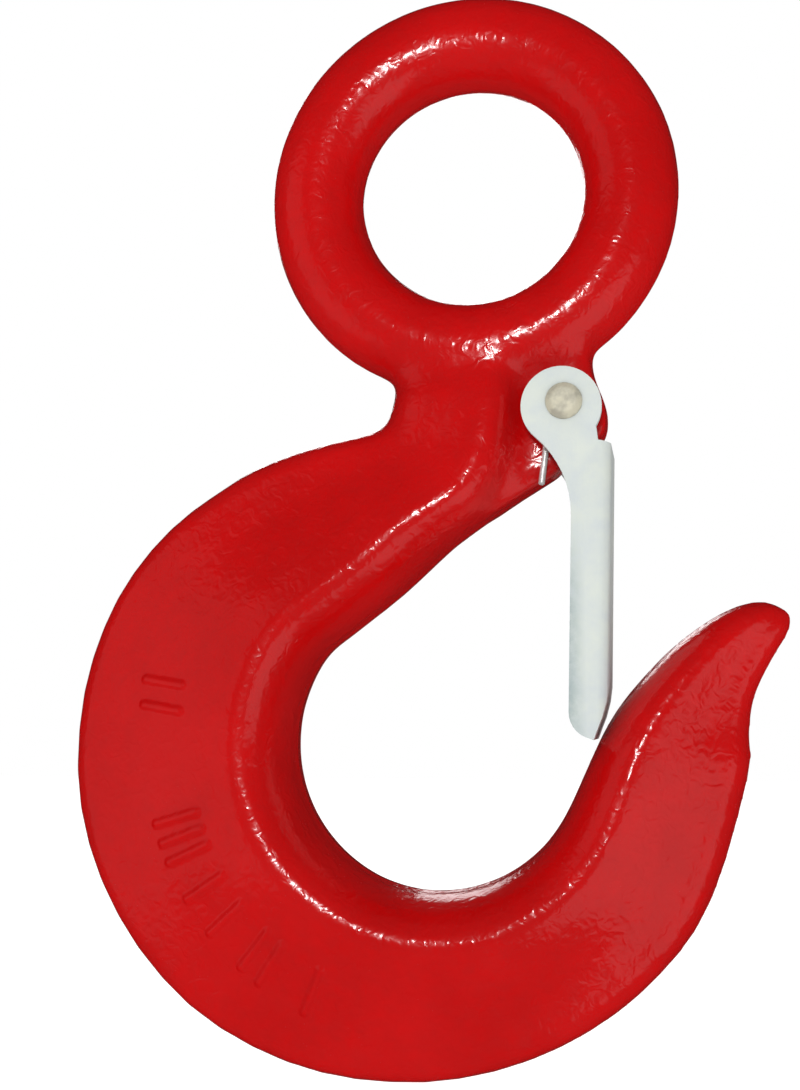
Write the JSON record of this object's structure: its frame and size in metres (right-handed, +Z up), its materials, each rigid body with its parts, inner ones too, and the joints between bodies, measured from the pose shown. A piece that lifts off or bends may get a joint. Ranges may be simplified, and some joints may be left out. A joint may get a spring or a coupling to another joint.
{
  "type": "eye hook with latch",
  "caption": "Forged lifting hook with a round eye at the top, a deep bowl and a sprung sheet-steel latch that closes the throat.",
  "frame": {"origin": "centre of the eye, on the mid-plane of the hook", "axes": "+X from the eye towards the side of the hook tip, +Y from front to back along the axis of the eye, +Z up from the bowl to the eye"},
  "size_m": [0.1589, 0.036, 0.2416],
  "materials": {
    "red_paint": "gloss paint over an as-forged surface",
    "zinc_plate": "bright zinc plate on pressed sheet",
    "spring_steel": "plated spring wire",
    "rivet_steel": "yellow-tinted zinc plate, hammered at one end"
  },
  "bodies": {
    "hook": {"hook_body": "red_paint", "rivet": "rivet_steel", "torsion_spring": "spring_steel"},
    "latch": {"latch": "zinc_plate"}
  },
  "joints": [
    {"name": "latch_pivot", "type": "hinge", "parent": "hook", "child": "latch", "pos_m": [0.021, 0, -0.0505], "axis": [0, 1, 0], "range_deg": [0, 38], "stiffness_Nm_per_rad": 0.2, "springref_deg": -40.11, "deforming": ["torsion_spring"]}
  ]
}
